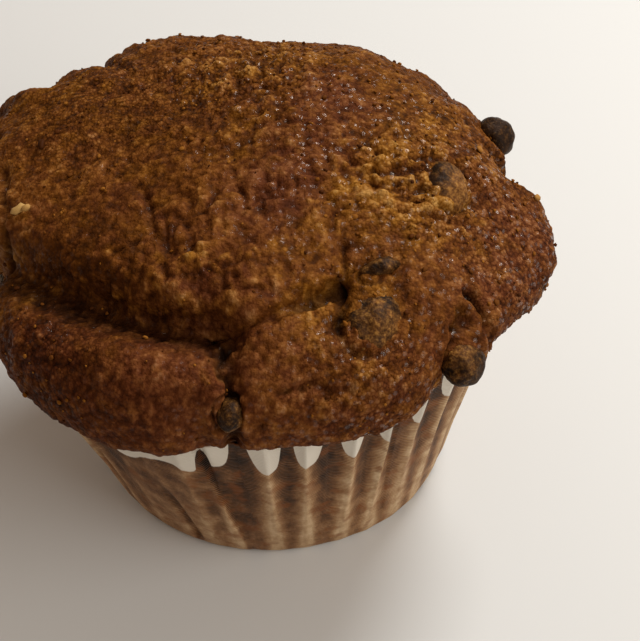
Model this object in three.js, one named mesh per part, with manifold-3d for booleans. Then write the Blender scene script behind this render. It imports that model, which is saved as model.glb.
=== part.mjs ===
import * as THREE from 'three';
import Module from 'manifold-3d';

const wasm = await Module();
wasm.setup();

// Driving sizes in millimetres, angles in degrees from +X towards +Y.
const gap = 0.3;
const lipEdge = 0.2;
const paper = {
  baseRadius: 25.4,
  height: 36.4,
  taper: 0.2,
  wall: 0.4,
  baseRound: 1.2,
  flutes: 40,
  firstRidge: -90,
  fluteDepth: 0.7,
  fluteStart: 1,
  fluteFull: 31,
};
// The stretch of wall where the flutes are pressed flat, the slanting fold beside it, and the bulge low on
// the wall.
const panel = { angle: -119, halfWidth: 16, left: 0.16 };
const fold = { bottom: -97.2, top: -104.6, halfWidth: 2, depth: 0.6 };
const bulge = { angle: -48, width: 24, reach: 1, from: 26, to: 2 };

const crown = {
  radius: 33.8,
  rimZ: 37.6,
  topZ: 50.8,
  fullness: 2.45,
  frontRise: 0.5,
  frontAngle: -85,
  frontWidth: 35,
  rimSag: 1.6,
  undersideZ: paper.height + gap,
  lipTuck: 0.7,
  overhang: 34.6,
  overhangFull: 38,
  droop: 3.6,
};

// Lobes of the rim: angle, half width in degrees, reach, shoulder (2 is a bell, more is squarer), and how soon
// each fades towards the top.
const lobes = [
  { angle: -121, width: 15, reach: 0.9, shoulder: 2, fade: 2 },
  { angle: -101.5, width: 3.2, reach: -1.1, shoulder: 2, fade: 2 },
  { angle: -62, width: 9, reach: 0.9, shoulder: 2, fade: 2 },
  { angle: -49, width: 7, reach: -1, shoulder: 2, fade: 2 },
  { angle: -12, width: 19.5, reach: 4.5, shoulder: 2, fade: 18 },
  { angle: 6.7, width: 5.1, reach: -2, shoulder: 14, fade: 8 },
  { angle: 12, width: 9, reach: -0.9, shoulder: 6, fade: 5 },
  { angle: 32, width: 3, reach: -0.9, shoulder: 2, fade: 2 },
  { angle: 74, width: 30, reach: -1, shoulder: 2, fade: 2 },
  { angle: 86, width: 8, reach: -0.8, shoulder: 2, fade: 2 },
  { angle: 101, width: 4, reach: -0.9, shoulder: 2, fade: 2 },
  { angle: 108, width: 13, reach: 2.3, shoulder: 2, fade: 2 },
  { angle: 127.5, width: 3.2, reach: -3, shoulder: 4, fade: 2 },
  { angle: 138, width: 7, reach: -1.1, shoulder: 4, fade: 2 },
  { angle: 145.5, width: 2.8, reach: 2.7, shoulder: 2, fade: 2 },
  { angle: 157, width: 33, reach: 6.6, shoulder: 2, fade: 2 },
];

// Swellings of the dome: centre, the two half widths, the turn of the long axis, the height.
const humps = [
  { x: 5, y: -2, long: 22, across: 8, turn: 60, height: 1.6 },
  { x: 18, y: -4, long: 11, across: 8, turn: 100, height: 0.9 },
  { x: -18, y: 4, long: 14, across: 12, turn: 0, height: -0.8 },
  { x: 29, y: -12, long: 9, across: 6, turn: 60, height: -1.2 },
  { x: -18, y: -29, long: 16, across: 4, turn: 150, height: 0.8 },
  { x: -1, y: 26, long: 14, across: 8, turn: 0, height: -1.7 },
];

// Creases of the dome as lines across it, with their half width and depth; a negative depth is a fold that
// stands up.
const creases = [
  {
    line: [[-39, -4.5], [-31, -9], [-26.5, -12.5], [-20.5, -17], [-13.5, -21], [-9.8, -22.8], [-5, -24.2]],
    width: 2.9,
    depth: 4.2,
  },
  { line: [[-5, -24.3], [-1.5, -24], [1.5, -23.5], [4.5, -21.8], [9, -20.5]], width: 1.1, depth: 1.3 },
  { line: [[-1.8, -25.2], [-2.2, -28], [-2.6, -31]], width: 1.3, depth: 1.4 },
  { line: [[-36, -14], [-28, -20], [-20.5, -24], [-12, -27.8], [-5, -29.5]], width: 3, depth: -1 },
];

// Chips: azimuth, level from rim (0) to top (1), how far the middle stands out, half sizes (across, up the
// slope, outward) and turn.
const chips = [
  { name: 'chip_rim_right', angle: 19.5, level: 0.09, out: 0.6, size: [2.8, 3.4, 2.6], turn: 10 },
  { name: 'chip_lip_right', angle: -45.5, level: 0.04, out: 1.2, size: [2.8, 2.9, 2.3], turn: 70 },
  { name: 'chip_crown_right', angle: -10, level: 0.54, out: -1.3, size: [4.3, 3.3, 2.5], turn: 8 },
  { name: 'chip_crown_front', angle: -59, level: 0.45, out: -1.8, size: [5, 3.7, 2.6], turn: 20 },
  { name: 'chip_crown_upper', angle: -49, level: 0.57, out: -1, size: [3.2, 1.6, 1.9], turn: -20 },
  { name: 'chip_lip_front', angle: -95.5, level: 0.17, out: -0.8, size: [1.7, 2.3, 2.2], turn: 0 },
];

const azimuths = 78;
const domeRings = 22;
const lipRings = 4;
const pointsPerFlute = 4;

const radians = (degrees) => degrees * Math.PI / 180;

function turnBetween(a, b) {
  return ((a - b + 540) % 360) - 180;
}

function bell(t) {
  return Math.exp(-t * t);
}

function smooth(from, to, t) {
  const k = Math.min(Math.max((t - from) / (to - from), 0), 1);
  return k * k * (3 - 2 * k);
}

// A closed body from a start pole through rings of points to an end pole.
function ringSolid(start, rings, end, count) {
  const positions = [...start];
  for (const ring of rings) {
    for (let i = 0; i < count; i += 1) {
      positions.push(...ring((360 * i) / count));
    }
  }
  positions.push(...end);
  const last = positions.length / 3 - 1;
  const at = (k, i) => 1 + k * count + (i % count);
  const index = [];
  for (let i = 0; i < count; i += 1) {
    index.push(0, at(0, i + 1), at(0, i));
    for (let k = 0; k + 1 < rings.length; k += 1) {
      index.push(at(k, i), at(k, i + 1), at(k + 1, i + 1));
      index.push(at(k, i), at(k + 1, i + 1), at(k + 1, i));
    }
    index.push(at(rings.length - 1, i), at(rings.length - 1, i + 1), last);
  }
  const geometry = new THREE.BufferGeometry();
  geometry.setAttribute('position', new THREE.Float32BufferAttribute(positions, 3));
  geometry.setIndex(index);
  return geometry;
}

function onRing(angle, r, z) {
  return [r * Math.cos(radians(angle)), r * Math.sin(radians(angle)), z];
}

// The radius out to the lobes; outward is 1 at the rim and 0 on top, where every lobe has faded.
function rimRadius(angle, outward = 1) {
  let r = crown.radius;
  for (const lobe of lobes) {
    const t = Math.abs(turnBetween(angle, lobe.angle) / lobe.width);
    r += lobe.reach * Math.exp(-(t ** lobe.shoulder)) * outward ** lobe.fade;
  }
  return r;
}

function distanceToLine(x, y, line) {
  let nearest = Infinity;
  for (let i = 0; i + 1 < line.length; i += 1) {
    const [ax, ay] = line[i];
    const [bx, by] = line[i + 1];
    const lengthSquared = (bx - ax) ** 2 + (by - ay) ** 2;
    const along = ((x - ax) * (bx - ax) + (y - ay) * (by - ay)) / lengthSquared;
    const k = Math.min(Math.max(along, 0), 1);
    nearest = Math.min(nearest, Math.hypot(x - ax - k * (bx - ax), y - ay - k * (by - ay)));
  }
  return nearest;
}

// How far the surface stands out from the plain dome at a place across it.
function relief(x, y) {
  let d = 0;
  for (const hump of humps) {
    const c = Math.cos(radians(hump.turn));
    const s = Math.sin(radians(hump.turn));
    const along = ((x - hump.x) * c + (y - hump.y) * s) / hump.long;
    const across = ((y - hump.y) * c - (x - hump.x) * s) / hump.across;
    d += hump.height * bell(Math.hypot(along, across));
  }
  for (const crease of creases) {
    d -= crease.depth * bell(distanceToLine(x, y, crease.line) / crease.width);
  }
  return d;
}

// The dome: a squared-off quarter ellipse from the rim (0) to the top (1), lobed at the rim. The relief stands
// along the ellipse's own outward direction.
function domePoint(angle, t) {
  const a = t * Math.PI / 2;
  const outward = Math.max(Math.cos(a), 0) ** (2 / crown.fullness);
  const upward = Math.sin(a) ** (2 / crown.fullness);
  const r = rimRadius(angle, outward) * outward;
  const [x, y] = onRing(angle, r, 0);
  const rise = crown.frontRise * bell(turnBetween(angle, crown.frontAngle) / crown.frontWidth);
  const sag = crown.rimSag * smooth(crown.overhang, crown.overhangFull, rimRadius(angle));
  const rim = crown.rimZ + (rise - sag) * outward ** 4;
  const wide = outward ** (crown.fullness - 1) / crown.radius;
  const tall = upward ** (crown.fullness - 1) / (crown.topZ - crown.rimZ);
  const stand = relief(x, y) / Math.hypot(wide, tall);
  const scale = 1 + (stand * wide) / Math.max(r, 1);
  return [x * scale, y * scale, rim + (crown.topZ - rim) * upward + stand * tall];
}

// The lip: a rounded edge from the rim (0) down and in to the underside (1), lower where it overhangs.
function lipPoint(angle, t) {
  const a = t * Math.PI / 2;
  const [x, y, z] = domePoint(angle, 0);
  const r = Math.hypot(x, y);
  const drop = crown.droop * smooth(crown.overhang, crown.overhangFull, r);
  const tuck = crown.lipTuck + drop * 0.4 - lipEdge;
  const bottom = crown.undersideZ - drop;
  return onRing(angle, r - tuck * (1 - Math.cos(a)), z - (z - bottom) * Math.sin(a));
}

function crownPoint(angle, level) {
  return level < 0 ? lipPoint(angle, -level) : domePoint(angle, level);
}

// The crumb's trunk stands clear of the wall where flutes and fold reach furthest in.
function trunkRadius(z) {
  return paper.baseRadius + paper.taper * z - paper.fluteDepth - fold.depth - paper.wall - gap;
}

function makeCrumb() {
  const floorZ = paper.wall + gap;
  const clearOfCase = paper.baseRadius + paper.taper * paper.height + paper.fluteDepth + gap;
  const underside = (angle) => {
    const [x, y] = domePoint(angle, 0);
    return onRing(angle, Math.min(clearOfCase, Math.hypot(x, y) - crown.lipTuck), crown.undersideZ);
  };
  const rings = [
    (angle) => onRing(angle, trunkRadius(floorZ) - paper.baseRound, floorZ),
    (angle) => onRing(angle, trunkRadius(floorZ + paper.baseRound), floorZ + paper.baseRound),
    (angle) => onRing(angle, trunkRadius(crown.undersideZ), crown.undersideZ),
    underside,
  ];
  for (let k = 0; k < lipRings; k += 1) {
    rings.push((angle) => lipPoint(angle, 1 - k / lipRings));
  }
  for (let k = 0; k < domeRings; k += 1) {
    rings.push((angle) => domePoint(angle, (k / domeRings) ** 1.25));
  }
  return ringSolid([0, 0, floorZ], rings, domePoint(0, 1), azimuths);
}

// The wall's distance out of its plain cone: ridges with narrow backs that fade to nothing at the base.
function flute(angle, z) {
  const rise = smooth(paper.fluteStart, paper.fluteFull, z);
  const count = ((angle - paper.firstRidge) * paper.flutes) / 360;
  const ridge = 1 - Math.abs(Math.sin(Math.PI * count)) ** 0.9;
  const flattened = 1 - (1 - panel.left) * bell((turnBetween(angle, panel.angle) / panel.halfWidth) ** 2);
  const foldAngle = fold.bottom + ((fold.top - fold.bottom) * z) / paper.height;
  const folded = fold.depth * bell(turnBetween(angle, foldAngle) / fold.halfWidth);
  const round = bell(turnBetween(angle, bulge.angle) / bulge.width);
  const bulged = bulge.reach * round * smooth(bulge.from, bulge.to, z);
  return rise * (paper.fluteDepth * flattened * (2 * ridge - 1) - folded) + bulged;
}

function makeCase() {
  const wallRing = (z, inset) => (angle) => {
    return onRing(angle, paper.baseRadius + paper.taper * z + flute(angle, z) - inset, z);
  };
  const round = paper.baseRound;
  const flat = (inset, z) => (angle) => onRing(angle, paper.baseRadius + flute(angle, 0) - inset, z);
  const heights = [round, paper.height * 0.5, paper.height];
  const rings = [
    flat(round, 0),
    flat(round * 0.3, round * 0.3),
    ...heights.map((z) => wallRing(z, 0)),
    ...heights.reverse().map((z) => wallRing(z, paper.wall)),
    flat(round, paper.wall),
  ];
  return ringSolid([0, 0, 0], rings, [0, 0, paper.wall], paper.flutes * pointsPerFlute);
}

// A place on the crown with its three directions: across the slope, up the slope, outward.
function seatOn(angle, level) {
  const here = new THREE.Vector3(...crownPoint(angle, level));
  const round = new THREE.Vector3(...crownPoint(angle + 3, level)).sub(here);
  const upward = new THREE.Vector3(...crownPoint(angle, level + 0.03)).sub(here);
  const outward = round.cross(upward).normalize();
  const across = new THREE.Vector3(0, 0, 1).cross(outward).normalize();
  const upSlope = outward.clone().cross(across);
  return { here, across, upSlope, outward };
}

// A chip: a ball with its own three half sizes, drawn in towards its outer end, grown by `extra` all round.
function makeChip(chip, extra) {
  const sides = 14;
  const levels = 7;
  const [wide, long, tall] = chip.size.map((half) => half + extra);
  const rings = [];
  for (let k = 1; k < levels; k += 1) {
    const a = Math.PI * (k / levels - 0.5);
    const girth = Math.cos(a) ** 0.8 * (1 - 0.1 * (Math.sin(a) + 1));
    rings.push((angle) => {
      const [x, y] = onRing(angle, girth, 0);
      return [x * wide, y * long, Math.sin(a) * tall];
    });
  }
  const geometry = ringSolid([0, 0, -tall], rings, [0, 0, tall], sides);
  const seat = seatOn(chip.angle, chip.level);
  geometry.rotateZ(radians(chip.turn));
  geometry.applyMatrix4(new THREE.Matrix4().makeBasis(seat.across, seat.upSlope, seat.outward));
  const centre = seat.here.clone().addScaledVector(seat.outward, chip.out);
  geometry.translate(centre.x, centre.y, centre.z);
  return geometry;
}

function toManifold(geometry) {
  return new wasm.Manifold(new wasm.Mesh({
    numProp: 3,
    vertProperties: new Float32Array(geometry.attributes.position.array),
    triVerts: new Uint32Array(geometry.index.array),
  }));
}

function fromManifold(solid) {
  const mesh = solid.getMesh();
  const geometry = new THREE.BufferGeometry();
  geometry.setAttribute('position', new THREE.BufferAttribute(mesh.vertProperties, 3));
  geometry.setIndex(new THREE.BufferAttribute(mesh.triVerts, 1));
  return geometry;
}

function addNode(group, name, geometry, colour, roughness) {
  const material = new THREE.MeshStandardMaterial({ color: colour, roughness, metalness: 0 });
  const mesh = new THREE.Mesh(geometry, material);
  mesh.name = name;
  group.add(mesh);
}

const muffin = new THREE.Group();
muffin.name = 'muffin';

let crumb = toManifold(makeCrumb());
for (const chip of chips) {
  crumb = crumb.subtract(toManifold(makeChip(chip, gap)));
}
addNode(muffin, 'crumb', fromManifold(crumb), 0x5f381a, 0.7);
addNode(muffin, 'paper_case', makeCase(), 0x7a5c42, 0.8);
for (const chip of chips) {
  addNode(muffin, chip.name, makeChip(chip, 0), 0x35251c, 0.45);
}

export default muffin;
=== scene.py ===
import math

import bmesh
import bpy
import numpy as np
from mathutils import Matrix, Vector


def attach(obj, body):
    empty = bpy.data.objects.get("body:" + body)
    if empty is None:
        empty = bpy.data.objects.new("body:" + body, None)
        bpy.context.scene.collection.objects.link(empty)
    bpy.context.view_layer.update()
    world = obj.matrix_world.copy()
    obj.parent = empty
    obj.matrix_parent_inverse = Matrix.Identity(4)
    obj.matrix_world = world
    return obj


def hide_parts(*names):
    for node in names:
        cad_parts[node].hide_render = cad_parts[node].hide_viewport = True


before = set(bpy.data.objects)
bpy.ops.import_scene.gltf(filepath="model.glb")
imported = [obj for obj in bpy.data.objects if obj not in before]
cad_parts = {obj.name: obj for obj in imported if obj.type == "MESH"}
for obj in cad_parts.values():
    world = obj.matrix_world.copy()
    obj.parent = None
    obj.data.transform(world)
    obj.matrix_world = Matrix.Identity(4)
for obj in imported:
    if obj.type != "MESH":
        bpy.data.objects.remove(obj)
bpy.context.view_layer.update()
mm = 0.001


# sRGB hex to linear light: a straight piece near black, a 2.4 power above it
def linearColour(hexCode):
    parts = [int(hexCode[i:i + 2], 16) / 255 for i in (1, 3, 5)]
    return (*[p / 12.92 if p <= 0.04045 else ((p + 0.055) / 1.055) ** 2.4 for p in parts], 1.0)


# adds a node, sets its values, and joins each input that is given a socket; stops fills a colour ramp
def addNode(material, kind, settings=None, inputs=None, stops=None):
    tree = material.node_tree
    node = tree.nodes.new(kind)
    for name, value in (settings or {}).items():
        setattr(node, name, value)
    for name, value in (inputs or {}).items():
        if isinstance(value, bpy.types.NodeSocket):
            tree.links.new(value, node.inputs[name])
        else:
            node.inputs[name].default_value = value
    if stops:
        ramp = node.color_ramp
        while len(ramp.elements) < len(stops):
            ramp.elements.new(0.5)
        for element, (position, hexCode) in zip(ramp.elements, stops):
            element.position = position
            element.color = linearColour(hexCode)
    return node


def newMaterial(name):
    material = bpy.data.materials.new(name)
    material.use_nodes = True
    material.node_tree.nodes.clear()
    return material


# points are in millimetres; fields are one number per point, kept on the mesh for the materials
def meshPiece(name, points, faces, material, fields=None):
    mesh = bpy.data.meshes.new(name)
    mesh.from_pydata((points * mm).tolist(), [], faces)
    mesh.polygons.foreach_set("use_smooth", np.ones(len(mesh.polygons), bool))
    for field, values in (fields or {}).items():
        layer = mesh.attributes.new(field, "FLOAT", "POINT")
        layer.data.foreach_set("value", np.asarray(values, np.float32).ravel())
    mesh.materials.append(material)
    piece = bpy.data.objects.new(name, mesh)
    bpy.context.scene.collection.objects.link(piece)
    return piece


# a number from 0 to 1 for each whole-number cell: its three indices and a seed, multiplied and folded
def cellNumber(cell, seed):
    n = cell[..., 0] * 73856093 ^ cell[..., 1] * 19349663 ^ cell[..., 2] * 83492791 ^ (seed * 668265263)
    n = (n ^ (n >> 15)) * 1274126177 & 0x7FFFFFFF
    n = (n ^ (n >> 13)) * 1103515245 & 0x7FFFFFFF
    return (n ^ (n >> 16)) % 65536 / 65535


# soft unevenness from -1 to 1: random numbers on a lattice, blended smoothly between its eight corners
def softNoise(points, size, seed):
    place = points / size
    cell = np.floor(place).astype(np.int64)
    k = place - cell
    k = k * k * k * (k * (k * 6 - 15) + 10)
    total = 0
    for corner in np.ndindex(2, 2, 2):
        share = np.prod(np.where(corner, k, 1 - k), axis=-1)
        total = total + share * cellNumber(cell + corner, seed)
    return total * 2 - 1


# grains: one random centre in each lattice cell; gives the distance to the nearest one and its own number
def grains(points, size, seed):
    place = points / size
    cell = np.floor(place).astype(np.int64)
    nearest = np.full(points.shape[:-1], 9.0)
    own = np.zeros(points.shape[:-1])
    for step in np.ndindex(3, 3, 3):
        other = cell + np.array(step) - 1
        centre = other + np.stack([cellNumber(other, seed + axis) for axis in range(3)], -1)
        distance = np.linalg.norm(place - centre, axis=-1)
        closer = distance < nearest
        nearest = np.where(closer, distance, nearest)
        own = np.where(closer, cellNumber(other, seed + 3), own)
    return nearest * size, own


def bell(t):
    return np.exp(-t * t)


def smoothStep(low, high, t):
    k = np.clip((t - low) / (high - low), 0, 1)
    return k * k * (3 - 2 * k)


def turnBetween(a, b):
    return (a - b + 540) % 360 - 180


# distance in plan from each point to a line of several stretches
def planDistance(x, y, line):
    nearest = np.full(np.shape(x), 999.0)
    for (ax, ay), (bx, by) in zip(line[:-1], line[1:]):
        length = (bx - ax) ** 2 + (by - ay) ** 2
        along = np.clip(((x - ax) * (bx - ax) + (y - ay) * (by - ay)) / length, 0, 1)
        nearest = np.minimum(nearest, np.hypot(x - ax - along * (bx - ax), y - ay - along * (by - ay)))
    return nearest


case = {
    "baseRadius": 25.4, "height": 36.4, "taper": 0.2, "thickness": 0.14, "baseRound": 1.2,
    "flutes": 40, "firstRidge": -90, "depth": 0.7, "bulgeAngle": -48, "bulgeWidth": 24, "bulge": 1.0,
    "bulgeHeights": (26, 2),
}

crown = {
    "radius": 33.8, "rimZ": 37.6, "topZ": 50.8, "fullness": 2.45,
    "frontRise": 0.5, "frontAngle": -85, "frontWidth": 35, "rimSag": 1.6,
    "undersideZ": case["height"] + 0.2, "lipTuck": 0.7, "overhang": 34.6, "overhangFull": 38.0, "droop": 3.6,
    "droopTuck": 0.4, "clearance": 1.7,
    # azimuth, half width in degrees, reach, shoulder (2 is a bell, more is squarer), how soon it fades
    "lobes": [
        (-137, 12, 0.4, 2, 2), (-121, 15, 0.9, 2, 2), (-101.5, 3.2, -1.1, 2, 2), (-97, 6, -0.6, 2, 2),
        (-88, 12, -0.2, 2, 2), (-74, 8, 0.25, 2, 2), (-62, 9, 0.9, 2, 2), (-49, 7, -1.0, 2, 2),
        (-12, 19.5, 4.5, 2, 18), (6.7, 5.1, -2.0, 14, 8), (12, 9, -0.9, 6, 5), (32, 3, -0.9, 2, 2),
        (48, 6, -0.3, 2, 2), (74, 30, -1.0, 2, 2), (86, 8, -0.8, 2, 2), (101, 4, -0.9, 2, 2),
        (108, 13, 2.3, 2, 2), (118, 2.5, 0.8, 2, 2), (124, 2.4, 0.3, 4, 2),
        (127.5, 3.2, -3.3, 4, 2), (134, 2.2, 0.8, 2, 2), (138, 7, -1.1, 4, 2), (145.5, 2.8, 2.7, 2, 4),
        (157, 33, 6.6, 2, 2),
    ],
    "humps": [  # centre in plan, the two half widths, turn of the long one, height
        (5, -2, 22, 8, 60, 1.6), (18, -4, 11, 8, 100, 0.9), (-18, 4, 14, 12, 0, -0.8),
        (29, -12, 9, 6, 60, -1.2), (-18, -29, 16, 4, 150, 0.8), (-1, 26, 14, 8, 0, -1.7),
    ],
    "creases": [  # line in plan, half width, depth
        ([(-39, -4.5), (-31, -9), (-26.5, -12.5), (-20.5, -17), (-13.5, -21), (-9.8, -22.8), (-5, -24.2)],
         2.9, 4.2),
        ([(-5, -24.3), (-1.5, -24), (1.5, -23.5), (4.5, -21.8), (9, -20.5)], 1.1, 1.3),
        ([(-1.8, -25.2), (-2.2, -28), (-2.6, -31)], 1.3, 1.4),
        ([(-36, -14), (-28, -20), (-20.5, -24), (-12, -27.8), (-5, -29.5)], 3.0, -1.0),
    ],
}


# outward is 1 at the rim and 0 on top, where every lobe has faded
def rimRadius(angle, outward=1):
    reach = 0
    for at, width, height, shoulder, fade in crown["lobes"]:
        reach = reach + height * np.exp(-np.abs(turnBetween(angle, at) / width) ** shoulder) * outward ** fade
    return crown["radius"] + reach


# how far the surface stands out of the plain dome: bell-shaped swellings less bell-shaped furrows
def domeRelief(x, y):
    stand = 0
    for cx, cy, longWay, across, turn, height in crown["humps"]:
        c, s = math.cos(math.radians(turn)), math.sin(math.radians(turn))
        along = ((x - cx) * c + (y - cy) * s) / longWay
        over = ((y - cy) * c - (x - cx) * s) / across
        stand = stand + height * bell(np.hypot(along, over))
    for line, width, depth in crown["creases"]:
        stand = stand - depth * bell(planDistance(x, y, line) / width)
    return stand


# the dome: a squared-off quarter ellipse, r = R cos^(2/m), z = rim + H sin^(2/m), with the rim's lobes fading
# inwards, and its rise and sag fading with the fourth power; the relief stands along the ellipse's own
# outward direction, (r/R)^(m-1)/R against (z/H)^(m-1)/H
def domePoint(angle, level):
    a = level * math.pi / 2
    outward = np.clip(np.cos(a), 0, 1) ** (2 / crown["fullness"])
    upward = np.clip(np.sin(a), 0, 1) ** (2 / crown["fullness"])
    r = rimRadius(angle, outward) * outward
    x = r * np.cos(np.radians(angle))
    y = r * np.sin(np.radians(angle))
    stand = domeRelief(x, y)
    wide = outward ** (crown["fullness"] - 1) / crown["radius"]
    tall = upward ** (crown["fullness"] - 1) / (crown["topZ"] - crown["rimZ"])
    length = np.hypot(wide, tall)
    scale = 1 + stand * wide / length / np.maximum(r, 1)
    rise = crown["frontRise"] * bell(turnBetween(angle, crown["frontAngle"]) / crown["frontWidth"])
    sag = crown["rimSag"] * smoothStep(crown["overhang"], crown["overhangFull"], rimRadius(angle))
    rim = crown["rimZ"] + (rise - sag) * outward ** 4
    z = rim + (crown["topZ"] - rim) * upward + stand * tall / length
    return np.stack([x * scale, y * scale, z], -1)


# the whole crown by azimuth and level: 1 top, 0 rim, -1 bottom of the lip, -2 where the trunk starts
def crownPoint(angle, level):
    dome = domePoint(angle, np.clip(level, 0, 1))
    r = np.hypot(dome[..., 0], dome[..., 1])
    drop = crown["droop"] * smoothStep(crown["overhang"], crown["overhangFull"], r)
    tuck = crown["lipTuck"] + drop * crown["droopTuck"]
    bottom = crown["undersideZ"] - drop
    a = np.clip(-level, 0, 1) * math.pi / 2
    lipR = r - tuck * (1 - np.cos(a))
    lipZ = dome[..., 2] - (dome[..., 2] - bottom) * np.sin(a)
    inward = smoothStep(0, 1, np.clip(-level - 1, 0, 1))
    underR = lipR + (trunkRadius(crown["undersideZ"]) - lipR) * np.clip(-level - 1, 0, 1)
    underZ = lipZ + (crown["undersideZ"] - lipZ) * inward
    fold = level < 0
    out = dome.copy()
    factor = np.where(fold, underR / np.maximum(r, 1), 1)
    out[..., 0] *= factor
    out[..., 1] *= factor
    out[..., 2] = np.where(fold, underZ, dome[..., 2])
    return out


def trunkRadius(z):
    return case["baseRadius"] + case["taper"] * z - crown["clearance"]


crumb = {
    "cells": 296,  # squares along each side of the folded grid, about 0.28 mm each
    "trunk": [(18, 0), (2.2, 0), (0.9, 1.2)],  # height and inset of each ring inside the case
    "lumps": [(11.0, 0.4), (5.0, 0.34)],  # size and height of the soft unevenness
    "knobs": [(2.7, 0.5), (1.3, 0.42)],  # size and height of round-topped crumbs with creases between them
    "grain": 0.82, "grainHeight": 0.4, "bend": 0.45, "bendSize": 1.6,
    "pit": 2.6, "pitShare": 0.22, "pitRadius": 0.45, "pitDepth": 0.55,
    "ragged": (1.1, 0.7), "wander": (2.0, 0.6),  # size and share of the cracks' uneven width and uneven line
    "cracks": [  # line in plan, half width, depth
        ([(10.6, -14.0), (10.9, -18.5), (9.6, -24.5)], 0.7, 0.7),
        ([(5.0, -21.6), (7.5, -20.6), (10.2, -19.4)], 0.6, 0.8),
        ([(3.4, -31.0), (7.1, -30.5), (10.6, -30.7)], 0.45, 0.5),
        ([(-15.9, -12.9), (-13.5, -11.9), (-11.2, -11.3)], 0.35, 0.5),
        ([(-12.9, -3.4), (-12.0, -6.8), (-11.5, -10.0)], 0.5, 0.4),
        ([(-31.2, 4.6), (-30.2, -1.9), (-30.2, -6.6)], 0.7, 0.7),
        ([(25.6, -17.9), (26.4, -20.3)], 0.7, 1.7), ([(22.2, -22.4), (23.8, -20.9)], 0.6, 1.3),
        ([(-3.6, -26.0), (-2.9, -30.0), (-3.2, -33.5)], 0.8, 1.2),
        ([(24.4, -22.6), (26.6, -20.2)], 1.5, -0.9),
    ],
    "golden": [  # centre in plan, radius, strength
        (18, -11, 8, 0.6), (2, 14, 8, 0.3), (11, -23, 6, 0.7), (22, 4, 6, 0.6), (6, -16, 6, 0.4),
        (4, -30, 6, 0.4),
    ],
    "dark": [
        (10, 9, 6, 0.9), (6.4, -1, 6, 0.9), (2.6, -8.6, 6, 0.9), (-6.7, -18, 6, 0.6), (34, -9, 9, 0.95),
        (-25, -24, 9, 0.8), (-13, -6, 5, 0.3), (16, -30, 10, 0.6), (-1, -30, 9, 0.8), (-12, -30, 8, 0.7),
        (26, -18, 6, 0.7),
    ],
    "coarse": [
        (2, 16, 10, 0.8), (16, -6, 9, 0.65), (25, -4, 9, 0.65), (12, -27, 9, 0.6), (8, 0, 10, 0.4),
        (-10, 22, 12, 0.5), (-24, -20, 10, 0.35), (-6, -9, 12, 0.4), (-14, 8, 14, 0.25), (-4, -17, 9, 0.6),
    ],
    "shadeAndLightPatches": [  # painted shade and light, place by place: a positive strength darkens, a negative strength is paler
        (-24, -25, 10, 0.16), (-22, -12, 7, 0.1), (34, -12, 9, 0.05), (-37, -3, 11, -0.36), (2, -28, 8, -0.1),
        (20, -8, 10, -0.1), (-4, 26, 12, -0.05), (-14, 14, 12, 0.05),
    ],
    "sandy": [
        (34, -10, 10, 1.0), (28, 5, 8, 0.9), (0, 20, 14, 0.7), (-20, 14, 14, 0.6), (20, -6, 9, 0.5),
        (-24, -24, 9, 0.4), (14, -30, 9, 0.5),
    ],
    # what each kind of patch has everywhere, size, share and seed of its noise, and what a raised crumb's
    # painted light adds: more golden and less dark on tops, the reverse in creases
    "patches": {
        "greasy": (0.12, 4, 0.3, 99, 0), "golden": (0, 6, 0.35, 91, 1), "dark": (0, 5, 0.3, 95, -0.8),
    },
    "greasy": [
        (8, 6, 9, 0.8), (2, 17, 12, 0.6), (18, -4, 10, 0.6), (33, -9, 9, 1.0), (28, 3, 8, 0.8),
        (14, -28, 10, 0.6), (26, -20, 6, 0.6), (-24, -19, 6, 0.3),
    ],
}


# place on the crown, how far out, half sizes across, up the slope and outward, turn, crumb film and its slant
chips = {
    "chip_rim_right": {
        "angle": 19.5, "level": 0.09, "out": 0.6, "size": (2.8, 3.4, 2.6), "turn": 10, "film": (-0.6, 0),
    },
    "chip_lip_right": {
        "angle": -45.5, "level": 0.04, "out": 1.2, "size": (2.8, 2.9, 2.3), "turn": 70, "film": (0.1, 0.5),
    },
    "chip_crown_right": {
        "angle": -10, "level": 0.54, "out": -1.3, "size": (4.3, 3.3, 2.5), "turn": 8, "film": (0.6, -0.9),
    },
    "chip_crown_front": {
        "angle": -59, "level": 0.45, "out": -1.8, "size": (5.0, 3.7, 2.6), "turn": 20, "film": (0.5, -0.35),
    },
    "chip_crown_upper": {
        "angle": -49, "level": 0.57, "out": -1.0, "size": (3.2, 1.6, 1.9), "turn": -20, "film": (0.3, 0),
    },
    "chip_lip_front": {
        "angle": -95.5, "level": 0.17, "out": -0.8, "size": (1.7, 2.3, 2.2), "turn": 0, "film": (0.15, 0),
    },
}


# a place on the crown and its three directions: round, up the slope, outward
def seatOn(angle, level):
    here = crownPoint(np.array(float(angle)), np.array(float(level)))
    sideways = crownPoint(np.array(angle + 3.0), np.array(float(level))) - here
    upward = crownPoint(np.array(float(angle)), np.array(level + 0.03)) - here
    normal = np.cross(sideways, upward)
    normal /= np.linalg.norm(normal)
    across = np.cross([0, 0, 1.0], normal)
    across /= np.linalg.norm(across)
    return here, np.stack([across, np.cross(normal, across), normal], 0)


# the collar and the slit round each chip: distances in chip radii from its middle; reach is in mm, along the
# chip's outward direction
chipSeat = {
    "free": "chip_rim_right", "reach": 5, "collarAt": 1.1, "collarHalf": 0.22, "collarHeight": 0.35,
    "slitAt": 0.98, "slitHalf": 0.14,
}
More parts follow.
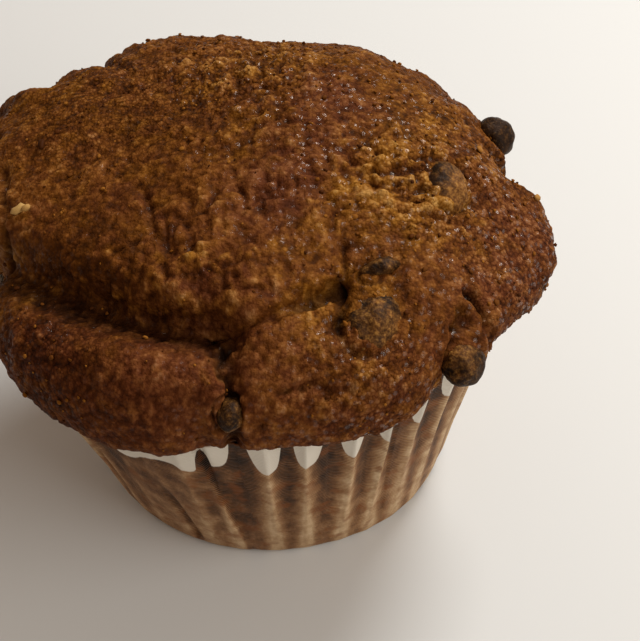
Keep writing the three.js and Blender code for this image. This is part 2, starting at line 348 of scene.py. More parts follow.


# the batter round each chip: a low collar just outside it, and a slit round it, deepest on the left, whose
# darkness in the crust is painted shade; the chip on the rim stands free
def chipSeats(points):
    collar, slit = 0, 0
    for name, chip in chips.items():
        if name == chipSeat["free"]:
            continue
        here, axes = seatOn(chip["angle"], chip["level"])
        local = (points - here) @ axes.T
        near = bell(local[..., 2] / chipSeat["reach"])
        ring = np.hypot(local[..., 0] / chip["size"][0], local[..., 1] / chip["size"][1])
        raised = bell((ring - chipSeat["collarAt"]) / chipSeat["collarHalf"])
        collar = collar + chipSeat["collarHeight"] * raised * near
        # the slit is deepest on the left side; its darkness is painted shade
        leftSide = smoothStep(0.1, -0.8, local[..., 0] / chip["size"][0])
        slit = slit + bell((ring - chipSeat["slitAt"]) / chipSeat["slitHalf"]) * near * (0.2 + 0.9 * leftSide)
    return collar, slit


# a square grid folded onto a disc: the longer coordinate becomes the distance out, the shorter one the angle
def foldedGrid(cells):
    line = np.linspace(-1, 1, cells + 1)
    u, v = np.meshgrid(line, line, indexing="ij")
    wide = np.abs(u) > np.abs(v)
    longer = np.where(wide, u, v)
    shorter = np.where(wide, v, u)
    turn = np.pi / 4 * np.divide(shorter, longer, out=np.zeros_like(u), where=longer != 0)
    x = longer * np.where(wide, np.cos(turn), np.sin(turn))
    y = longer * np.where(wide, np.sin(turn), np.cos(turn))
    return np.degrees(np.arctan2(y, x)), np.abs(longer)


# levels spaced so that each square of the folded grid covers the same area of crust
def evenLevels(share):
    levels = np.linspace(1, -2, 1200)
    path = crownPoint(np.full(levels.shape, 45.0), levels)
    r = np.hypot(path[:, 0], path[:, 1])
    steps = np.hypot(np.diff(r), np.diff(path[:, 2])) * (r[1:] + r[:-1])
    area = np.concatenate([[0], np.cumsum(steps)])
    return np.interp(share, np.sqrt(area / area[-1]), levels)


# outward directions: the cross product of the grid's two ways along the surface
def gridNormals(points):
    normals = np.cross(np.gradient(points, axis=0), np.gradient(points, axis=1))
    return normals / np.maximum(np.linalg.norm(normals, axis=-1, keepdims=True), 1e-9)


def patchStrength(points, patches):
    strength = 0
    for x, y, radius, amount in patches:
        strength = strength + amount * bell(np.hypot(points[..., 0] - x, points[..., 1] - y) / radius)
    return strength


# crust relief: soft lumps, crumbs that are |noise| and so round on top with sharp creases, grains like
# upturned bowls, a few burst bubbles, and cracks with ragged edges; coarse says how rough each place is
def crustRelief(points, coarse):
    bend = [softNoise(points, crumb["bendSize"], 21 + axis) for axis in range(3)]
    bent = points + crumb["bend"] * np.stack(bend, -1)
    lumps = sum(height * softNoise(points, size, 11 + i) for i, (size, height) in enumerate(crumb["lumps"]))
    knobs = 0
    for i, (size, height) in enumerate(crumb["knobs"]):
        soft = softNoise(bent, size, 15 + i)
        knobs = knobs + height * (coarse * (np.abs(soft) * 2 - 0.6) + (1 - coarse) * 0.55 * soft)
    distance, own = grains(bent, crumb["grain"], 31)
    tops = crumb["grainHeight"] * (0.4 + own) * (0.4 - (distance / crumb["grain"]) ** 2)
    pitDistance, pitOwn = grains(bent, crumb["pit"], 51)
    pits = (pitOwn < crumb["pitShare"]) * bell(pitDistance / crumb["pitRadius"])
    size, share = crumb["ragged"]
    ragged = 1 + share * softNoise(points, size, 71)
    size, share = crumb["wander"]
    wander = share * np.stack([softNoise(points, size, 81 + axis) for axis in range(2)], -1)
    cracks = 0
    for line, width, depth in crumb["cracks"]:
        gap = planDistance(points[..., 0] + wander[..., 0], points[..., 1] + wander[..., 1], line)
        cracks = cracks + depth * bell(gap / (width * ragged))
    rough = 0.55 + 0.6 * coarse
    collar, slit = chipSeats(points)
    cracks = cracks + 0.8 * slit
    grainy = (0.8 + 0.3 * coarse) * tops
    height = lumps + rough * (knobs - crumb["pitDepth"] * pits) + grainy - cracks + collar
    # painted shade: darker in pits, cracks and the slits round the chips, paler on knob tops, grain tops and
    # lumps
    paintedShade = 0.5 * pits + 0.7 * cracks - 0.4 * knobs * (0.4 + 0.6 * coarse) - 0.6 * tops - 0.1 * lumps - 0.08
    # each grain's own random tone, plus painted light: paler on knob tops and grain tops
    tone = 0.5 + 0.2 * (own - 0.5) + (0.15 + 0.3 * coarse) * knobs + 0.5 * tops
    return height, paintedShade, tone


def makeCrumb(material):
    angle, outward = foldedGrid(crumb["cells"])
    level = evenLevels(outward)
    smooth = crownPoint(angle, level)
    normals = gridNormals(smooth)
    coarse = np.clip(patchStrength(smooth, crumb["coarse"]), 0, 1)
    height, paintedShade, tone = crustRelief(smooth, coarse)
    height = height * smoothStep(-1.6, -1.0, level)
    points = smooth + normals * height[..., None]
    # painted shade along the dome's furrows, added to the shade field on the dome
    furrowShade = 0
    for line, width, depth in crown["creases"]:
        furrowShade = furrowShade + depth * bell(planDistance(smooth[..., 0], smooth[..., 1], line) / width) / 3
    sandy = np.clip(0.4 + patchStrength(smooth, crumb["sandy"]), 0, 1)
    # painted light and shade: raised tops stand above the middle tone, creases below it
    raised = (tone - 0.5) * (0.3 + coarse)
    fields = {
        "paintedShade": np.clip(paintedShade + 0.6 * furrowShade * (level > 0), 0, 1),
        "tone": np.clip(tone - patchStrength(smooth, crumb["shadeAndLightPatches"]), 0, 1),
        "sandy": sandy,
    }
    for name, (least, size, share, seed, topLightShare) in crumb["patches"].items():
        strength = least + patchStrength(smooth, crumb[name])
        fields[name] = np.clip(strength + share * softNoise(smooth, size, seed) + topLightShare * raised, 0, 1)
    side = crumb["cells"] + 1
    index = np.arange(side * side).reshape(side, side)
    quads = np.stack([index[:-1, :-1], index[1:, :-1], index[1:, 1:], index[:-1, 1:]], -1).reshape(-1, 4)
    edge = np.concatenate([index[:-1, 0], index[-1, :-1], index[:0:-1, -1], index[0, :0:-1]])
    flat = points.reshape(-1, 3)
    edgeAngle = np.radians(angle.reshape(-1)[edge])
    rows, loops = [flat], [edge]
    start = len(flat)
    for z, inset in crumb["trunk"]:
        r = trunkRadius(z) - inset
        ring = [r * np.cos(edgeAngle), r * np.sin(edgeAngle), np.full(len(edge), float(z))]
        rows.append(np.stack(ring, -1))
        loops.append(np.arange(start, start + len(edge)))
        start += len(edge)
    rows.append(np.array([[0, 0, crumb["trunk"][-1][0]]]))
    faces = quads.tolist()
    for a, b in zip(loops[:-1], loops[1:]):
        faces += np.stack([a, b, np.roll(b, -1), np.roll(a, -1)], -1).tolist()
    last = loops[-1]
    faces += np.stack([last, np.full(len(last), start), np.roll(last, -1)], -1).tolist()
    extra = start + 1 - len(flat)
    fields = {name: np.concatenate([values.ravel(), np.zeros(extra)]) for name, values in fields.items()}
    bakedPiece = meshPiece("bakedCrumb", np.concatenate(rows), faces, material, fields)
    return bakedPiece, {"points": points, "normals": normals, "sandy": sandy, "level": level}


# Muffin crust: oil-rich batter browned in the oven. Reads as saturated brown grains with pin-point greasy
# glints.
def crustMaterial():
    material = newMaterial("bakedMuffinCrust")
    place = addNode(material, "ShaderNodeTexCoord").outputs["Object"]
    read = {
        name: addNode(material, "ShaderNodeAttribute", {"attribute_name": name}).outputs["Fac"]
        for name in ("paintedShade", "tone", "golden", "dark", "greasy", "sandy")
    }

    # noise less its middle value, of a size in mm, worth a share of the number it is added to
    def vary(value, size, share, detail):
        noise = addNode(material, "ShaderNodeTexNoise", inputs={
            "Vector": place, "Scale": 1 / (size * mm), "Detail": detail, "Roughness": 0.6})
        centred = addNode(material, "ShaderNodeMath", {"operation": "SUBTRACT"},
                          {0: noise.outputs["Fac"], 1: 0.5})
        return addNode(material, "ShaderNodeMath", {"operation": "MULTIPLY_ADD", "use_clamp": True},
                       {0: centred.outputs[0], 1: share, 2: value}).outputs[0]

    # sandy grains: each its own random tone, with painted shade darkening towards each grain's edge
    sand = addNode(material, "ShaderNodeTexVoronoi", inputs={"Vector": place, "Scale": 1 / (0.42 * mm)})
    ownTone = addNode(material, "ShaderNodeSeparateColor", inputs={0: sand.outputs["Color"]}).outputs[0]
    sandToneAndShade = addNode(material, "ShaderNodeMath", {"operation": "SUBTRACT"},
                       {0: ownTone, 1: sand.outputs["Distance"]})
    sandShare = addNode(material, "ShaderNodeMath", {"operation": "MULTIPLY"}, {0: read["sandy"], 1: 0.36})
    tone = addNode(material, "ShaderNodeMath", {"operation": "MULTIPLY_ADD"},
                   {0: sandToneAndShade.outputs[0], 1: sandShare.outputs[0], 2: read["tone"]}).outputs[0]
    # mottling, blobs of batter, crumbs
    for size, share, detail in ((2.4, 0.42, 1), (1.1, 0.52, 1), (0.4, 0.22, 2)):
        tone = vary(tone, size, share, detail)
    plain = addNode(material, "ShaderNodeValToRGB", inputs={"Fac": tone}, stops=[
        (0.0, "#1e0c02"), (0.3, "#3f2106"), (0.5, "#552f0c"), (0.72, "#714419"), (1.0, "#936636"),
    ])
    gold = addNode(material, "ShaderNodeValToRGB", inputs={"Fac": tone}, stops=[
        (0.0, "#2a1402"), (0.3, "#553206"), (0.5, "#71460f"), (0.72, "#906222"), (1.0, "#b3894b"),
    ])
    deep = addNode(material, "ShaderNodeValToRGB", inputs={"Fac": tone}, stops=[
        (0.0, "#1c0903"), (0.3, "#401e0b"), (0.5, "#572e16"), (0.72, "#734626"), (1.0, "#966c4a"),
    ])
    goldShare = vary(read["golden"], 2.8, 1.7, 1)
    deepShare = vary(read["dark"], 2.1, 1.7, 1)
    withGold = addNode(material, "ShaderNodeMix", {"data_type": "RGBA"},
                       {0: goldShare, 6: plain.outputs[0], 7: gold.outputs[0]})
    withDark = addNode(material, "ShaderNodeMix", {"data_type": "RGBA"},
                       {0: deepShare, 6: withGold.outputs[2], 7: deep.outputs[0]})
    # painted shade: where the shade field is high the crust colour goes towards near-black #130500
    shade = addNode(material, "ShaderNodeMix", {"data_type": "RGBA"},
                    {0: read["paintedShade"], 6: withDark.outputs[2], 7: linearColour("#130500")})
    fine = addNode(material, "ShaderNodeTexNoise",
                   inputs={"Vector": place, "Scale": 1 / (0.42 * mm), "Detail": 2, "Roughness": 0.6})
    rolling = addNode(material, "ShaderNodeBump", inputs={
        "Strength": 0.7, "Distance": 0.3 * mm, "Height": fine.outputs["Fac"]})
    bump = addNode(material, "ShaderNodeBump", {"invert": True},
                   {"Strength": read["sandy"], "Distance": 0.16 * mm, "Height": sand.outputs["Distance"],
                    "Normal": rolling.outputs[0]})
    drops = addNode(material, "ShaderNodeTexVoronoi", inputs={"Vector": place, "Scale": 1 / (0.95 * mm)})
    wet = addNode(material, "ShaderNodeMapRange",
                  inputs={"Value": drops.outputs["Distance"], "From Min": 0.36, "From Max": 0.26})
    coat = addNode(material, "ShaderNodeMath", {"operation": "MULTIPLY"},
                   {0: wet.outputs[0], 1: read["greasy"]})
    shader = addNode(material, "ShaderNodeBsdfPrincipled", inputs={
        "Base Color": shade.outputs[2], "Roughness": 0.6, "IOR": 1.46, "Specular IOR Level": 0.05,
        "Normal": bump.outputs[0], "Coat Weight": coat.outputs[0], "Coat Roughness": 0.16, "Coat IOR": 1.5,
        "Coat Normal": rolling.outputs[0]})
    addNode(material, "ShaderNodeOutputMaterial", inputs={"Surface": shader.outputs[0]})
    return material


bakedCrumb, crust = makeCrumb(crustMaterial())
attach(bakedCrumb, "root")
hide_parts("crumb")
print("crumb made", len(bakedCrumb.data.polygons))


looseCrumbs = {
    "count": 800, "small": 0.12, "large": 0.32, "lowest": -0.75, "sink": 0.25, "uneven": 0.35,
    "placed": [  # azimuth, level, the three half sizes, tone
        (-173.2, 0.46, (0.6, 1.0, 0.4), 0.95), (-172.6, 0.485, (0.45, 0.55, 0.35), 0.9),
        (-0.5, 0.13, (0.4, 0.75, 0.35), 0.85),
        (7.2, 0.36, (0.6, 0.45, 0.3), 0.8), (165.0, 0.53, (0.9, 0.5, 0.4), 0.15),
    ],
}


# crumbs lying on the crust: small uneven balls, thickest where it is sandy, each sunk a little into it
def makeLooseCrumbs(material):
    ball = bmesh.new()
    bmesh.ops.create_icosphere(ball, subdivisions=2, radius=1)
    unit = np.array([v.co[:] for v in ball.verts])
    corners = np.array([[v.index for v in f.verts] for f in ball.faces])
    ball.free()
    number = np.arange(crust["level"].size)
    drawn = [cellNumber(np.stack([number, number * 0, number * 0], -1), 400 + i) for i in range(5)]
    tooLow = crust["level"].ravel() < looseCrumbs["lowest"]
    score = drawn[0] / (0.1 + crust["sandy"].ravel() ** 2) + 99 * tooLow
    chosen = np.argsort(score)[:looseCrumbs["count"]]
    away = crust["normals"].reshape(-1, 3)[chosen]
    size = looseCrumbs["small"] + (looseCrumbs["large"] - looseCrumbs["small"]) * drawn[1][chosen] ** 3
    halves = [0.7 + 0.6 * drawn[2][chosen], 0.7 + 0.6 * drawn[3][chosen], np.full(size.shape, 0.7)]
    stretch = size[:, None] * np.stack(halves, -1)
    seats = crust["points"].reshape(-1, 3)[chosen] + away * (size * (1 - 2 * looseCrumbs["sink"]))[:, None]
    tones = 0.15 + drawn[4][chosen] * 0.6
    for angle, level, halves, tone in looseCrumbs["placed"]:
        here, axes = seatOn(angle, level)
        seats = np.vstack([seats, here + axes[2] * halves[2] * 1.2])
        away = np.vstack([away, axes[2]])
        stretch = np.vstack([stretch, halves])
        tones = np.append(tones, tone)
    across = np.cross([0, 0, 1.0], away)
    across /= np.maximum(np.linalg.norm(across, axis=1, keepdims=True), 1e-6)
    axes = np.stack([across, np.cross(away, across), away], 1)
    offset = np.arange(len(seats))[:, None, None] * 7.3
    lumpy = 1 + looseCrumbs["uneven"] * softNoise(unit[None] * 1.6 + offset, 1.0, 411)
    local = unit[None] * lumpy[..., None] * stretch[:, None]
    points = seats[:, None] + np.einsum("nvk,nkj->nvj", local, axes)
    faces = corners[None] + np.arange(len(seats))[:, None, None] * len(unit)
    fields = {"tone": np.repeat(tones, len(unit))}
    return meshPiece("looseCrumbs", points.reshape(-1, 3), faces.reshape(-1, 3).tolist(), material, fields)


# Dried crumb: the same batter, crisped right through. Dark brown through golden, with a few pale flecks.
def looseCrumbMaterial():
    material = newMaterial("crispDriedCrumb")
    tone = addNode(material, "ShaderNodeAttribute", {"attribute_name": "tone"}).outputs["Fac"]
    colour = addNode(material, "ShaderNodeValToRGB", inputs={"Fac": tone}, stops=[
        (0.0, "#241004"), (0.3, "#4c280c"), (0.55, "#744715"), (0.78, "#966426"), (1.0, "#c0a268"),
    ])
    shader = addNode(material, "ShaderNodeBsdfPrincipled", inputs={
        "Base Color": colour.outputs[0], "Roughness": 0.6, "IOR": 1.46, "Specular IOR Level": 0.06})
    addNode(material, "ShaderNodeOutputMaterial", inputs={"Surface": shader.outputs[0]})
    return material


strewn = makeLooseCrumbs(looseCrumbMaterial())
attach(strewn, "root")
print("loose crumbs made", len(strewn.data.polygons))


paper = {
    "perFlute": 18, "rows": 64, "innerRows": 10,
    # degrees off even spacing: of the ridges seen from the front, and of the rest at random
    "ridgeShifts": {-1: -2.4, 0: 0.8, 1: 0.1, 2: 1.7, 3: 1.0, 4: 0.6, 5: 0.4}, "jitter": 1.3,
    "panelAngle": -119, "panelHalf": 16, "panelLeft": 0.16,
    "foldTop": -104.6, "foldBottom": -97.2, "foldHalf": 1.3, "foldDepth": 1.3,
    "creaseTop": -120, "creaseBottom": -113.6, "creaseDepth": 0.75, "creaseHalf": 1.2, "creaseEnd": (22, 12),
    "foldSides": (0.7, 2.2),  # how wide the fold is on its steep and on its gentle side, in half widths
    "soakAndSideShade": [(-131, 15, -0.24), (-58, 16, 0.12)],  # painted shade on the left side and painted light on the right: azimuth, half width, how much paler
    "uneven": (6, 0.3, 211), "soft": [(5, 0.2, 221), (1.6, 0.07, 223)],  # size, share or height, seed
    "stripZ": 28.9, "stripRise": 5, "stripEnd": (-127, -136),
    # azimuth, half width, how far the strip hangs lower there
    "stripDrops": [(-123.5, 5.5, 3.4), (-106.5, 2.8, 1.5)],
    "tipZ": 29.4, "tipUneven": 0.9, "tipRise": 7.0, "tipHalf": 0.36, "tipPower": 4, "tipLean": 0.05,
    "tongueTop": 60,  # well above the paper
}


# where each ridge stands: evenly spaced, with small shifts
def ridgeAngles():
    number = np.arange(-case["flutes"] // 2 - 1, case["flutes"] // 2 + 2)
    wrapped = (number + case["flutes"] // 2) % case["flutes"]
    jitter = paper["jitter"] * (2 * cellNumber(np.stack([wrapped, wrapped * 0, wrapped * 0], -1), 7) - 1)
    shift = np.array([paper["ridgeShifts"].get(int(n), float(j)) for n, j in zip(number, jitter)])
    return number, case["firstRidge"] + number * 360 / case["flutes"] + shift


# place round the case counted in flutes: a whole number on each ridge, halves in the valleys
def fluteCount(angle):
    number, ridges = ridgeAngles()
    return np.interp(turnBetween(angle, case["firstRidge"]) + case["firstRidge"], ridges, number)


# where round the case a slanting fold lies at a height, straight from its bottom to its top
def foldAngle(bottom, top, z):
    return bottom + (top - bottom) * z / case["height"]


# the wall's distance out of its plain cone: ridges with a narrow back between round valleys, deepest at the
# top edge; also a paleness share of painted light and shade: palest on the ridges, darker in the fold and the
# crease, darker on the left side and paler on the right
def flute(angle, z):
    spot = np.stack([np.cos(np.radians(angle)) * 30, np.sin(np.radians(angle)) * 30, z * 0.3], -1)
    count = fluteCount(angle)
    ridge = 1 - np.abs(np.sin(np.pi * count)) ** 0.9
    own = cellNumber(np.stack([np.round(count).astype(np.int64) % case["flutes"]] * 3, -1), 17)
    rise = 0.08 + 0.92 * smoothStep(1, 31, z) ** 0.9
    fromPanel = turnBetween(angle, paper["panelAngle"]) / paper["panelHalf"]
    flattened = 1 - (1 - paper["panelLeft"]) * bell(fromPanel ** 2)
    size, share, seed = paper["uneven"]
    uneven = 1 + share * softNoise(spot, size, seed)
    wave = case["depth"] * flattened * uneven * (0.7 + 0.6 * own) * (2 * ridge - 1)
    foldAt = foldAngle(paper["foldBottom"], paper["foldTop"], z)
    past = turnBetween(angle, foldAt)
    folded = paper["foldDepth"] * bell(past / np.where(past < 0, *paper["foldSides"]) / paper["foldHalf"])
    creaseAt = foldAngle(paper["creaseBottom"], paper["creaseTop"], z)
    creased = paper["creaseDepth"] * bell(turnBetween(angle, creaseAt) / paper["creaseHalf"])
    creased = creased * smoothStep(*paper["creaseEnd"], z)
    soft = sum(height * softNoise(spot, size, seed) for size, height, seed in paper["soft"])
    # painted shade on the left side, painted light on the right
    sideShadeAndLight = sum(amount * bell(turnBetween(angle, at) / width) for at, width, amount in paper["soakAndSideShade"])
    # painted light and shade: paler on the ridges, darker in the fold and the crease, plus the painted side
    # shade and light
    lit = np.clip(ridge * flattened + 0.4 * (1 - flattened) - 0.7 * folded - 0.8 * creased + sideShadeAndLight, 0, 1)
    return rise * (wave - folded) - creased * smoothStep(0, 4, z) + soft * smoothStep(1, 5, z), lit


# height above which the paper is still clean: a rounded tongue hanging on each ridge, a strip along the flat
# panel
def cleanLine(angle):
    count = fluteCount(angle)
    number = np.round(count)
    off = np.abs(count - number - paper["tipLean"])
    own = cellNumber(np.stack([number.astype(np.int64) % case["flutes"]] * 3, -1), 27)
    tongueSide = paper["tipRise"] * (off / paper["tipHalf"]) ** paper["tipPower"]
    tongues = paper["tipZ"] + paper["tipUneven"] * (2 * own - 1) + tongueSide
    strip = paper["stripZ"] + paper["stripRise"] * smoothStep(*paper["stripEnd"], angle)
    for at, width, drop in paper["stripDrops"]:
        strip = strip - drop * bell(turnBetween(angle, at) / width)
    onPanel = smoothStep(-0.2, 0.2, 1 - np.abs(turnBetween(angle, paper["panelAngle"]) / paper["panelHalf"]))
    return np.minimum(tongues, paper["tongueTop"]) * (1 - onPanel) + strip * onPanel


def casePoint(angle, z, inset):
    # ridge here is flute's paleness share, with its painted light and shade
    out, ridge = flute(angle, z)
    under = np.clip(1 - z / case["baseRound"], 0, 1)
    around = bell(turnBetween(angle, case["bulgeAngle"]) / case["bulgeWidth"])
    bulge = case["bulge"] * around * smoothStep(*case["bulgeHeights"], z)
    rounded = case["baseRound"] * (1 - np.sqrt(1 - under ** 2))
    r = case["baseRadius"] + case["taper"] * z + bulge + out - inset - rounded
    return np.stack([r * np.cos(np.radians(angle)), r * np.sin(np.radians(angle)), z], -1), ridge


def makeCase(material):
    count = case["flutes"] * paper["perFlute"]
    around = np.arange(count) * 360 / count - 180
    heights = np.concatenate([[0, 0.25, 0.6], np.linspace(case["baseRound"], case["height"], paper["rows"])])
    innerHeights = np.linspace(case["height"], case["thickness"] + 1.0, paper["innerRows"])
    angle, z = np.meshgrid(around, heights)
    outer, outerRidgeLight = casePoint(angle, z, 0)
    innerAngle, innerZ = np.meshgrid(around, innerHeights)
    inner, innerRidgeLight = casePoint(innerAngle, innerZ, case["thickness"])
    rows = np.concatenate([outer, inner])
    angleField = np.concatenate([angle, innerAngle])
    index = np.arange(rows.shape[0] * count).reshape(-1, count)
    right = np.roll(index, -1, axis=1)
    faces = np.stack([index[:-1], right[:-1], right[1:], index[1:]], -1).reshape(-1, 4).tolist()
    bottom = rows.shape[0] * count
    faces += np.stack([index[0], np.full(count, bottom), right[0]], -1).tolist()
    faces += np.stack([index[-1], right[-1], np.full(count, bottom + 1)], -1).tolist()
    points = np.concatenate([rows.reshape(-1, 3), [[0, 0, 0], [0, 0, case["thickness"] + 0.5]]])
    # ridge keeps the paleness share from flute: painted light on the ridges, painted shade in the fold, the
    # crease and the left side
    fields = {
        "ridge": np.concatenate([outerRidgeLight, innerRidgeLight]),
        "clean": rows[..., 2] - cleanLine(angleField),
        "height": rows[..., 2] / case["height"],
        "arc": np.radians(angleField) * case["baseRadius"],
    }
    fields = {name: np.concatenate([values.ravel(), [0, 0]]) for name, values in fields.items()}
    fields["clean"][-2:] = -20  # the base is far below the clean paper
    return meshPiece("bakingCase", points, faces, material, fields)


# Baking paper: bleached greaseproof paper, pleated. Fat from the crumb turns it brown and half clear, and
# leaves clean white tongues where a pleat stood clear of the batter.
def paperMaterial():
    material = newMaterial("greaseproofBakingPaper")
    place = addNode(material, "ShaderNodeTexCoord").outputs["Object"]
    read = {
        name: addNode(material, "ShaderNodeAttribute", {"attribute_name": name}).outputs["Fac"]
        for name in ("ridge", "clean", "height", "arc")
    }
    upright = addNode(material, "ShaderNodeSeparateXYZ", inputs={0: place}).outputs["Z"]
    alongWall = addNode(material, "ShaderNodeMath", {"operation": "MULTIPLY"}, {0: read["arc"], 1: mm})
    wall = addNode(material, "ShaderNodeCombineXYZ",
                   inputs={"X": alongWall.outputs[0], "Y": upright}).outputs[0]
    stretched = addNode(material, "ShaderNodeMapping", inputs={"Vector": wall, "Scale": (1, 0.3, 1)})
    soak = addNode(material, "ShaderNodeTexNoise",
                   inputs={"Vector": place, "Scale": 1 / (3.5 * mm), "Detail": 3, "Roughness": 0.6})
    streak = addNode(material, "ShaderNodeTexNoise", inputs={
        "Vector": stretched.outputs[0], "Scale": 1 / (1.1 * mm), "Detail": 4, "Roughness": 0.7})
    # the wave texture repeats about every 0.31 at scale 1
    crimp = addNode(material, "ShaderNodeTexWave", {"wave_type": "BANDS", "bands_direction": "Y"}, {
        "Vector": wall, "Scale": 0.31 / (0.42 * mm), "Distortion": 5, "Detail": 2, "Detail Scale": 0.5})
    # paleness = 0.7 of ridge and low together, plus soak 0.7, streak 0.6 and crimp 0.22; ridge carries the
    # painted light and shade from flute, low is paler towards the bottom
    low = addNode(material, "ShaderNodeMapRange",
                  inputs={"Value": read["height"], "From Min": 0.85, "From Max": 0.1, "To Max": 0.5})
    litAndLowShare = addNode(material, "ShaderNodeMath", {"operation": "ADD", "use_clamp": True},
                         {0: read["ridge"], 1: low.outputs[0]})
    paleness = addNode(material, "ShaderNodeMath", {"operation": "MULTIPLY_ADD"},
                       {0: litAndLowShare.outputs[0], 1: 0.7, 2: 0.11}).outputs[0]
    for source, share in ((soak, 0.7), (streak, 0.6), (crimp, 0.22)):
        centred = addNode(material, "ShaderNodeMath", {"operation": "SUBTRACT"},
                          {0: source.outputs["Fac"], 1: 0.5})
        paleness = addNode(material, "ShaderNodeMath", {"operation": "MULTIPLY_ADD"},
                           {0: centred.outputs[0], 1: share, 2: paleness}).outputs[0]
    brown = addNode(material, "ShaderNodeValToRGB", inputs={"Fac": paleness}, stops=[
        (0.0, "#1c0f05"), (0.25, "#4b2f17"), (0.48, "#805a38"), (0.72, "#ad8a63"), (1.0, "#d8c09c"),
    ])
    batter = addNode(material, "ShaderNodeTexNoise", inputs={
        "Vector": place, "Scale": 1 / (2.6 * mm), "Detail": 2})
    # blotches where batter soaked into the paper
    soakAndSideShade = addNode(material, "ShaderNodeMapRange", inputs={
        "Value": batter.outputs["Fac"], "From Min": 0.54, "From Max": 0.68, "To Max": 0.6})
    blotched = addNode(material, "ShaderNodeMix", {"data_type": "RGBA"},
                       {0: soakAndSideShade.outputs[0], 6: brown.outputs[0], 7: linearColour("#7c4515")})
    edge = addNode(material, "ShaderNodeMath", {"operation": "MULTIPLY_ADD"},
                   {0: streak.outputs["Fac"], 1: 0.5, 2: read["clean"]})
    white = addNode(material, "ShaderNodeMapRange",
                    inputs={"Value": edge.outputs[0], "From Min": 0.15, "From Max": 0.4})
    colour = addNode(material, "ShaderNodeMix", {"data_type": "RGBA"},
                     {0: white.outputs[0], 6: blotched.outputs[2], 7: linearColour("#ddd8cc")})
    bump = addNode(material, "ShaderNodeBump", inputs={
        "Strength": 0.6, "Distance": 0.12 * mm, "Height": crimp.outputs["Fac"]})
    shader = addNode(material, "ShaderNodeBsdfPrincipled", inputs={
        "Base Color": colour.outputs[2], "Roughness": 0.55, "IOR": 1.5, "Specular IOR Level": 0.14,
        "Normal": bump.outputs[0]})
    addNode(material, "ShaderNodeOutputMaterial", inputs={"Surface": shader.outputs[0]})
    return material


bakingCase = makeCase(paperMaterial())
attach(bakingCase, "root")
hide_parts("paper_case")
print("case made", len(bakingCase.data.polygons))


chipForm = {
    "around": 72, "up": 44, "square": 0.8, "drawnIn": 0.1,  # below 1 is squarer; share lost at the outer end
    "dents": [(2.4, 0.3, 0), (1.0, 0.16, 3)],  # size, height, step of the seed
    "grit": (0.45, 0.07, 7),
    "film": [(2.0, 0.45, 20), (0.7, 0.5, 24)],  # size, share, step of the seed
}


# a chip: a ball with its own three half sizes, drawn in towards its outer end, with soft dents, set on the
# crown
def makeChip(name, chip, material, seed):
    around, up = chipForm["around"], chipForm["up"]
    turn, lift = np.meshgrid(np.arange(around) * 2 * np.pi / around, np.pi * (np.arange(1, up) / up - 0.5))
    ring = np.cos(lift) ** chipForm["square"] * (1 - chipForm["drawnIn"] * (np.sin(lift) + 1))
    local = np.stack([ring * np.cos(turn), ring * np.sin(turn), np.sin(lift)], -1).reshape(-1, 3)
    local = np.concatenate([local, [[0, 0, -1], [0, 0, 1]]])
    c, s = math.cos(math.radians(chip["turn"])), math.sin(math.radians(chip["turn"]))
    local = local * chip["size"] @ np.array([[c, s, 0], [-s, c, 0], [0, 0, 1]])
    away = local / np.linalg.norm(local, axis=-1, keepdims=True)
    own = local + seed * 40
    dents = sum(height * softNoise(own, size, seed + step) for size, height, step in chipForm["dents"])
    size, height, step = chipForm["grit"]
    grit = height * softNoise(local, size, seed + step)
    local = local + away * (dents + grit)[:, None]
    here, axes = seatOn(chip["angle"], chip["level"])
    points = here + local @ axes + axes[2] * chip["out"]
    index = np.arange(around * (up - 1)).reshape(-1, around)
    right = np.roll(index, -1, axis=1)
    faces = np.stack([index[:-1], right[:-1], right[1:], index[1:]], -1).reshape(-1, 4).tolist()
    bottom = around * (up - 1)
    faces += np.stack([index[0], np.full(around, bottom), right[0]], -1).tolist()
    faces += np.stack([index[-1], right[-1], np.full(around, bottom + 1)], -1).tolist()
    slant = chip["film"][1] * (local[:, 1] / chip["size"][1])
    patchy = sum(share * softNoise(points, size, seed + step) for size, share, step in chipForm["film"])
    film = chip["film"][0] + slant + patchy
    piece = meshPiece(name + "_look", points, faces, material, {"film": np.clip(film, 0, 1)})
    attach(piece, "root")
    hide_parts(name)


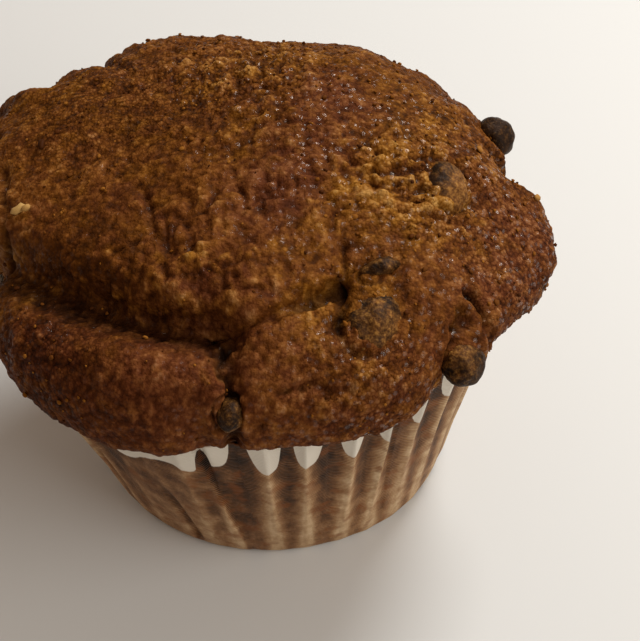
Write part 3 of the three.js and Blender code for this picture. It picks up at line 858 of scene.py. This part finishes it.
# Baking chocolate: moulded drops, softened and bloomed in the oven. Nearly black and dull, with crumb baked
# on in patches.
def chocolateMaterial():
    material = newMaterial("bakedDarkChocolate")
    place = addNode(material, "ShaderNodeTexCoord").outputs["Object"]
    film = addNode(material, "ShaderNodeAttribute", {"attribute_name": "film"}).outputs["Fac"]
    blotch = addNode(material, "ShaderNodeTexNoise",
                     inputs={"Vector": place, "Scale": 1 / (1.8 * mm), "Detail": 4, "Roughness": 0.6})
    fine = addNode(material, "ShaderNodeTexNoise",
                   inputs={"Vector": place, "Scale": 1 / (0.4 * mm), "Detail": 3, "Roughness": 0.65})
    bare = addNode(material, "ShaderNodeValToRGB", inputs={"Fac": blotch.outputs["Fac"]}, stops=[
        (0.3, "#150a03"), (0.55, "#2b1a0d"), (0.75, "#47321e"),
    ])
    filmed = addNode(material, "ShaderNodeValToRGB", inputs={"Fac": fine.outputs["Fac"]}, stops=[
        (0.3, "#4f3014"), (0.5, "#774f25"), (0.72, "#a67b3e"),
    ])
    spread = addNode(material, "ShaderNodeMath", {"operation": "MULTIPLY_ADD"},
                     {0: fine.outputs["Fac"], 1: 1.0, 2: -0.5})
    amount = addNode(material, "ShaderNodeMath", {"operation": "ADD", "use_clamp": True},
                     {0: film, 1: spread.outputs[0]})
    colour = addNode(material, "ShaderNodeMix", {"data_type": "RGBA"},
                     {0: amount.outputs[0], 6: bare.outputs[0], 7: filmed.outputs[0]})
    bump = addNode(material, "ShaderNodeBump", inputs={
        "Strength": 0.7, "Distance": 0.2 * mm, "Height": fine.outputs["Fac"]})
    shader = addNode(material, "ShaderNodeBsdfPrincipled", inputs={
        "Base Color": colour.outputs[2], "Roughness": 0.5, "IOR": 1.48, "Specular IOR Level": 0.1,
        "Normal": bump.outputs[0]})
    addNode(material, "ShaderNodeOutputMaterial", inputs={"Surface": shader.outputs[0]})
    return material


chocolate = chocolateMaterial()
for number, (chipName, chipShape) in enumerate(chips.items()):
    makeChip(chipName, chipShape, chocolate, 300 + number * 31)
print("chips made", len(chips))


stage = {
    "floor": 3.0, "floorColour": "#d7dfe5", "aim": (0, 0, 0.03),
    "world": "#ffdfc4", "worldStrength": 0.35,
    "keyPlace": (0.24, 0.30, 0.42), "keySize": 0.22, "keyPower": 2.42, "keyColour": "#fff8ef",
    "fillPlace": (0.38, -0.20, 0.34), "fillSize": 0.4, "fillPower": 1.3, "fillColour": "#fff6ea",
}

camera = {
    "place": (7.6, -121.5, 168.4), "down": 51.0, "roll": -3.2, "lens": 78.63, "sensor": 36.0, "near": 0.005,
}


def addLight(name, place, size, power, colour):
    light = bpy.data.lights.new(name, "AREA")
    light.shape = "DISK"
    light.size = size
    light.energy = power
    light.color = linearColour(colour)[:3]
    lamp = bpy.data.objects.new(name, light)
    aim = np.array(stage["aim"]) - np.array(place)
    lamp.rotation_mode = "QUATERNION"
    lamp.rotation_quaternion = Vector(aim).to_track_quat("-Z", "Y")
    lamp.location = place
    bpy.context.scene.collection.objects.link(lamp)


def makeStage():
    half = stage["floor"] / 2
    floorMaterial = newMaterial("paleGlazedTable")
    shader = addNode(floorMaterial, "ShaderNodeBsdfPrincipled",
                     inputs={"Base Color": linearColour(stage["floorColour"]), "Roughness": 0.6})
    addNode(floorMaterial, "ShaderNodeOutputMaterial", inputs={"Surface": shader.outputs[0]})
    corners = np.array([[-half, -half, 0], [half, -half, 0], [half, half, 0], [-half, half, 0]]) / mm
    floor = meshPiece("floor", corners, [[0, 1, 2, 3]], floorMaterial)
    world = bpy.data.worlds.new("studio")
    world.use_nodes = True
    background = world.node_tree.nodes["Background"]
    background.inputs["Color"].default_value = linearColour(stage["world"])
    background.inputs["Strength"].default_value = stage["worldStrength"]
    bpy.context.scene.world = world
    addLight("key", stage["keyPlace"], stage["keySize"], stage["keyPower"], stage["keyColour"])
    addLight("fill", stage["fillPlace"], stage["fillSize"], stage["fillPower"], stage["fillColour"])
    bpy.context.scene.view_settings.view_transform = "Standard"


def makeCamera():
    down, roll = math.radians(camera["down"]), math.radians(camera["roll"])
    forward = np.array([0, math.cos(down), -math.sin(down)])
    level = np.array([1, 0, 0])
    up = np.cross(level, forward)
    right = math.cos(roll) * level + math.sin(roll) * up
    top = -math.sin(roll) * level + math.cos(roll) * up
    turned = Matrix(np.stack([right, top, -forward], 1).tolist()).to_4x4()
    data = bpy.data.cameras.new("camera")
    data.lens = camera["lens"]
    data.sensor_fit = "VERTICAL"
    data.sensor_height = camera["sensor"]
    data.clip_start = camera["near"]
    view = bpy.data.objects.new("camera", data)
    view.matrix_world = Matrix.Translation([v * mm for v in camera["place"]]) @ turned
    bpy.context.scene.collection.objects.link(view)
    bpy.context.scene.camera = view


makeStage()
makeCamera()
print("stage made")
